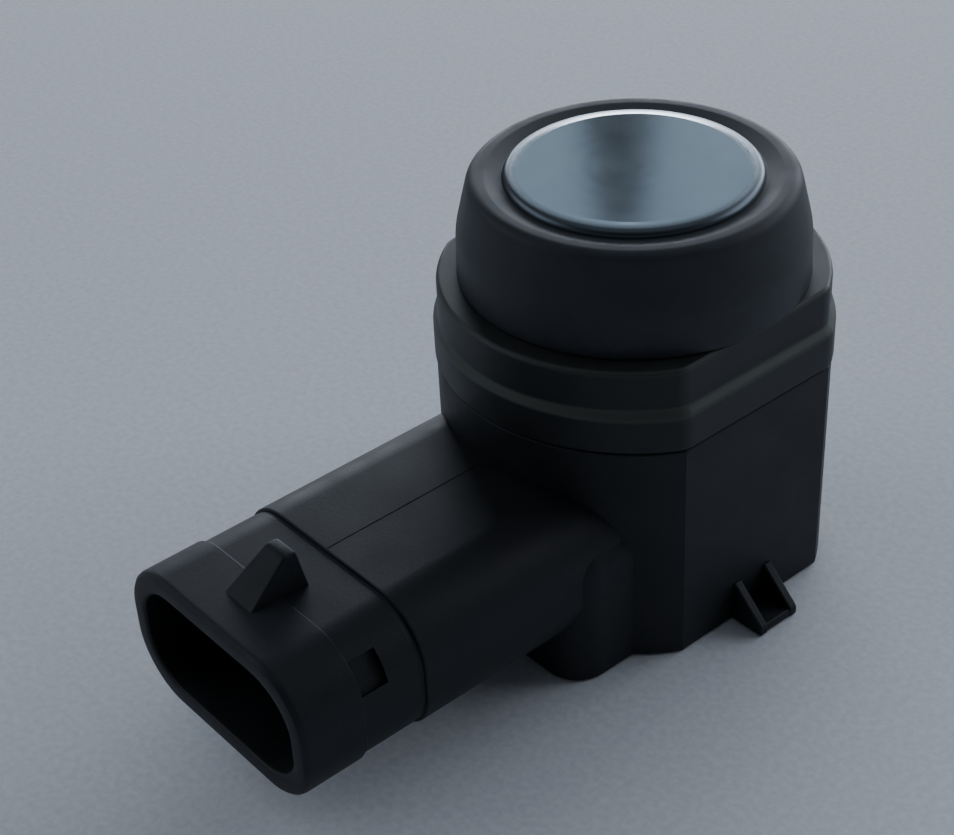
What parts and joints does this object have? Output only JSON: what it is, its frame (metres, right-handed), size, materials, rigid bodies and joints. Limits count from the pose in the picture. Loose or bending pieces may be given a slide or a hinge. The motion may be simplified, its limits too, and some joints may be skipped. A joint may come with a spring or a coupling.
{
  "type": "parking sensor",
  "caption": "Right-angle ultrasonic parking sensor: round head with a metal membrane in a rubber ring, flat-sided body with side clips, and a rounded connector socket.",
  "frame": {"origin": "on the sensor's axis, on the flat base that the sensor stands on", "axes": "+Z along the sensor's axis to the membrane, -Y out of the connector's mouth, X across the two side clips"},
  "size_m": [0.0268, 0.0464, 0.0283],
  "materials": {
    "housing_plastic": "fine moulded matt black",
    "collar_plastic": "moulded black, slightly lighter",
    "silicone_ring": "matt moulded silicone",
    "membrane_aluminium": "satin",
    "piezo_ceramic": "fired ceramic",
    "damping_foam": "open-cell foam",
    "seal_silicone": "cast silicone",
    "red_insulation": "extruded insulation",
    "black_insulation": "extruded insulation",
    "board_laminate": "solder mask",
    "chip_epoxy": "moulded epoxy",
    "ferrite": "sintered",
    "winding_copper": "enamelled wire",
    "bobbin_plastic": "moulded",
    "can_aluminium": "drawn can",
    "capacitor_ceramic": "fired ceramic",
    "resistor_body": "glazed",
    "terminal_brass": "tinned brass",
    "potting_resin": "cast resin"
  },
  "bodies": {
    "root": {"housing": "housing_plastic", "retaining_collar": "collar_plastic", "decoupling_ring": "silicone_ring", "transducer_pot": "membrane_aluminium", "piezo_disc": "piezo_ceramic", "damping_pad": "damping_foam", "pot_seal": "seal_silicone", "lead_signal": "red_insulation", "lead_ground": "black_insulation", "circuit_board": "board_laminate", "control_chip": "chip_epoxy", "transformer_core": "ferrite", "transformer_winding": "winding_copper", "transformer_bobbin": "bobbin_plastic", "storage_capacitor": "can_aluminium", "ceramic_capacitors": "capacitor_ceramic", "chip_resistors": "resistor_body", "terminal_left": "terminal_brass", "terminal_middle": "terminal_brass", "terminal_right": "terminal_brass", "potting_fill": "potting_resin"}
  },
  "joints": []
}
